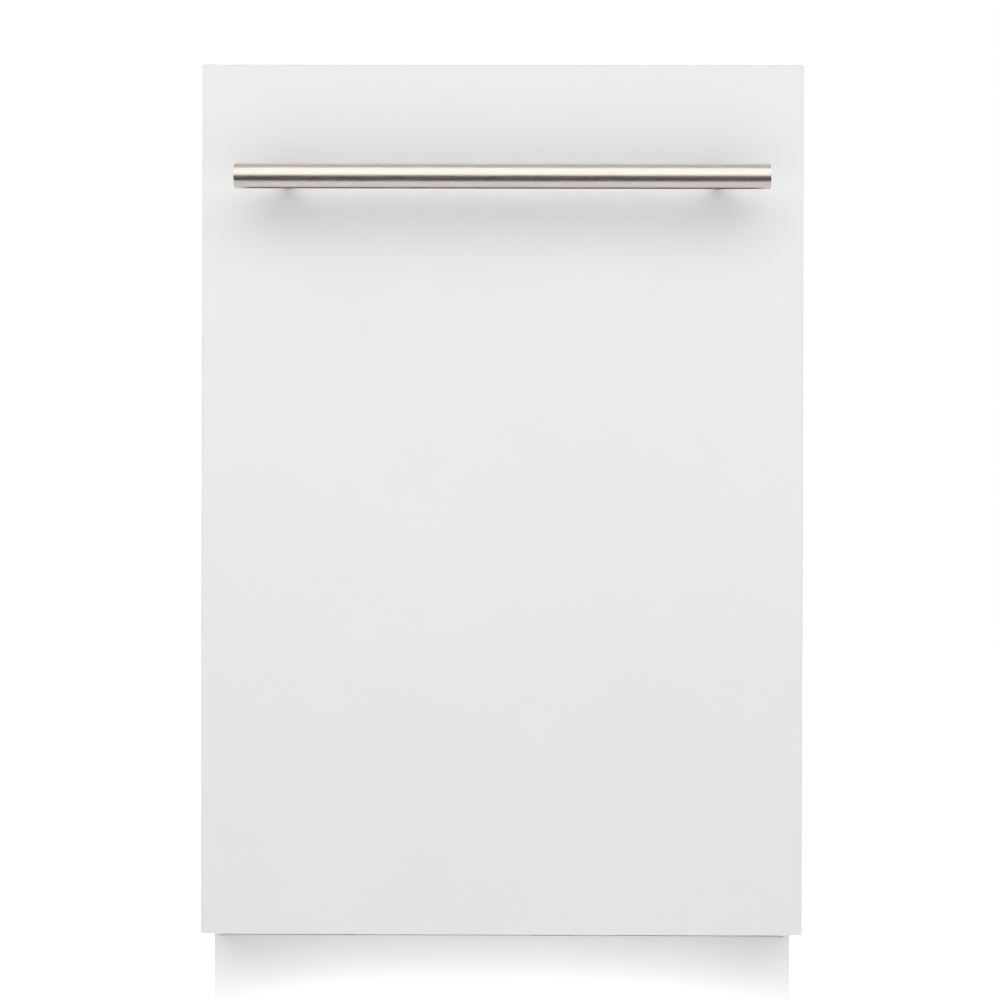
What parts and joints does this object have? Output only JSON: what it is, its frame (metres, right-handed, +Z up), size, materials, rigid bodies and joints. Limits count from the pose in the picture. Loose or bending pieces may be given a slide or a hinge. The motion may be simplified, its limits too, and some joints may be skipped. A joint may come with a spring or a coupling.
{
  "type": "built-in dishwasher",
  "caption": "Slim built-in dishwasher with a plain white door panel and a bar handle; the door drops down and wire racks slide out.",
  "frame": {"origin": "on the floor, in the middle of the overall width and depth, under the levelling feet", "axes": "+X to the right of someone facing the door, +Y into the cabinet, away from the door, +Z up"},
  "size_m": [0.448, 0.64, 0.85],
  "materials": {
    "white_panel": "matte powder coat",
    "handle_metal": "brushed nickel",
    "stainless": "satin stainless sheet",
    "galvanised": "galvanised sheet",
    "spring_steel": "oiled spring steel",
    "fastener_steel": "zinc plated",
    "base_plastic": "moulded polypropylene",
    "grey_plastic": "moulded polypropylene",
    "light_plastic": "moulded polypropylene",
    "strip_plastic": "satin moulding",
    "button_plastic": "satin moulding",
    "rack_wire": "nylon coated wire",
    "seal_rubber": "moulded seal",
    "felt": "bitumen and felt",
    "display_glass": "dark window",
    "circuit_board": "board",
    "motor_metal": "cast and pressed",
    "blue_plastic": "satin moulding"
  },
  "bodies": {
    "cabinet": {"base_pan": "base_plastic", "toe_kick": "white_panel", "left_side_panel": "galvanised", "right_side_panel": "galvanised", "insulation_mats": "felt", "frame_braces": "galvanised", "counter_brackets": "galvanised", "tub_wrap": "stainless", "tub_back": "stainless", "tub_floor": "stainless", "tub_gasket": "seal_rubber", "sump": "grey_plastic", "filter_plate": "stainless", "lower_arm_post": "grey_plastic", "circulation_pump": "motor_metal", "drain_pump": "base_plastic", "water_hoses": "seal_rubber", "inlet_valve": "light_plastic", "junction_box": "galvanised", "feed_pipe": "grey_plastic", "hinge_brackets": "galvanised", "door_springs": "spring_steel", "fixed_rails": "galvanised", "latch_housing": "base_plastic", "case_screws": "fastener_steel"},
    "door": {"outer_panel": "white_panel", "handle_bar": "handle_metal", "handle_posts": "handle_metal", "inner_door": "stainless", "control_fascia": "strip_plastic", "display_window": "display_glass", "control_board": "circuit_board", "detergent_dispenser": "light_plastic", "hinge_arms": "galvanised", "door_screws": "fastener_steel", "latch_tongue": "spring_steel"},
    "lower_arm": {"lower_spray_arm": "grey_plastic"},
    "filter": {"filter_cup": "grey_plastic"},
    "float": {"overflow_float": "grey_plastic"},
    "rotor": {"pump_rotor": "light_plastic"},
    "catch": {"latch_catch": "spring_steel"},
    "rail_slide": {"rail_slides": "galvanised"},
    "upper_basket": {"upper_rack": "rack_wire", "rack_rails": "grey_plastic", "upper_arm_manifold": "grey_plastic"},
    "upper_arm": {"upper_spray_arm": "grey_plastic"},
    "lower_basket": {"lower_rack": "rack_wire", "wheel_brackets": "grey_plastic"},
    "front_axle": {"front_wheels": "grey_plastic"},
    "rear_axle": {"rear_wheels": "grey_plastic"},
    "cutlery": {"cutlery_basket": "grey_plastic"},
    "foot_left": {"front_left_foot": "base_plastic"},
    "foot_right": {"front_right_foot": "base_plastic"},
    "foot_back": {"rear_foot": "base_plastic"},
    "key_power": {"power_button": "button_plastic"},
    "key_program": {"program_button": "button_plastic"},
    "key_delay": {"delay_button": "button_plastic"},
    "key_start": {"start_button": "button_plastic"},
    "flap": {"dispenser_lid": "grey_plastic"},
    "rinse_cap": {"rinse_aid_cap": "blue_plastic"}
  },
  "joints": [
    {"name": "door_hinge", "type": "hinge", "parent": "cabinet", "child": "door", "pos_m": [0, -0.235, 0.205], "axis": [1, 0, 0], "range_deg": [0, 90], "stiffness_Nm_per_rad": 12, "deforming": ["door_springs"]},
    {"name": "rail_travel", "type": "slide", "parent": "cabinet", "child": "rail_slide", "axis": [0, -1, 0], "range_m": [0, 0.2]},
    {"name": "upper_rack_travel", "type": "slide", "parent": "cabinet", "child": "upper_basket", "axis": [0, -1, 0], "range_m": [0, 0.4]},
    {"name": "lower_rack_travel", "type": "slide", "parent": "cabinet", "child": "lower_basket", "axis": [0, -1, 0], "range_m": [0, 0.13]},
    {"name": "front_wheel_roll", "type": "hinge", "parent": "lower_basket", "child": "front_axle", "pos_m": [0, -0.105, 0.2413], "axis": [1, 0, 0], "range_deg": [0, 455]},
    {"name": "rear_wheel_roll", "type": "hinge", "parent": "lower_basket", "child": "rear_axle", "pos_m": [0, 0.2, 0.2413], "axis": [1, 0, 0], "range_deg": [0, 455]},
    {"name": "lower_arm_spin", "type": "hinge", "parent": "cabinet", "child": "lower_arm", "pos_m": [0, 0.041, 0.25], "axis": [0, 0, 1], "continuous": true},
    {"name": "upper_arm_spin", "type": "hinge", "parent": "upper_basket", "child": "upper_arm", "pos_m": [0, 0.041, 0.527], "axis": [0, 0, 1], "continuous": true},
    {"name": "pump_spin", "type": "hinge", "parent": "cabinet", "child": "rotor", "pos_m": [-0.105, 0.1, 0.098], "axis": [0, 1, 0], "continuous": true},
    {"name": "filter_twist", "type": "hinge", "parent": "cabinet", "child": "filter", "pos_m": [0, -0.025, 0.2], "axis": [0, 0, 1], "range_deg": [0, 45]},
    {"name": "float_rise", "type": "slide", "parent": "cabinet", "child": "float", "axis": [0, 0, 1], "range_m": [0, 0.008]},
    {"name": "catch_release", "type": "hinge", "parent": "cabinet", "child": "catch", "pos_m": [0, -0.182, 0.825], "axis": [1, 0, 0], "range_deg": [0, 10], "stiffness_Nm_per_rad": 0.4},
    {"name": "cutlery_lift", "type": "slide", "parent": "lower_basket", "child": "cutlery", "axis": [0, 0, 1], "range_m": [0, 0.07]},
    {"name": "left_foot_screw", "type": "slide", "parent": "cabinet", "child": "foot_left", "axis": [0, 0, -1], "range_m": [-0.013, 0.03]},
    {"name": "right_foot_screw", "type": "slide", "parent": "cabinet", "child": "foot_right", "axis": [0, 0, -1], "range_m": [-0.013, 0.03]},
    {"name": "rear_foot_screw", "type": "slide", "parent": "cabinet", "child": "foot_back", "axis": [0, 0, -1], "range_m": [-0.013, 0.03]},
    {"name": "power_press", "type": "slide", "parent": "door", "child": "key_power", "axis": [0, 0, -1], "range_m": [0, 0.0015], "stiffness_N_per_m": 350},
    {"name": "program_press", "type": "slide", "parent": "door", "child": "key_program", "axis": [0, 0, -1], "range_m": [0, 0.0015], "stiffness_N_per_m": 350},
    {"name": "delay_press", "type": "slide", "parent": "door", "child": "key_delay", "axis": [0, 0, -1], "range_m": [0, 0.0015], "stiffness_N_per_m": 350},
    {"name": "start_press", "type": "slide", "parent": "door", "child": "key_start", "axis": [0, 0, -1], "range_m": [0, 0.0015], "stiffness_N_per_m": 350},
    {"name": "flap_hinge", "type": "hinge", "parent": "door", "child": "flap", "pos_m": [0, -0.2224, 0.456], "axis": [-1, 0, 0], "range_deg": [0, 95]},
    {"name": "rinse_cap_turn", "type": "hinge", "parent": "door", "child": "rinse_cap", "pos_m": [0.048, -0.22, 0.505], "axis": [0, 1, 0], "range_deg": [0, 90]}
  ],
  "couplings": [
    {"joint": "rail_travel", "follows": "door_hinge", "m_per_rad": 0.125},
    {"joint": "upper_rack_travel", "follows": "door_hinge", "m_per_rad": 0.25},
    {"joint": "lower_rack_travel", "follows": "door_hinge", "m_per_rad": 0.08},
    {"joint": "front_wheel_roll", "follows": "door_hinge", "ratio": 5},
    {"joint": "rear_wheel_roll", "follows": "door_hinge", "ratio": 5}
  ]
}
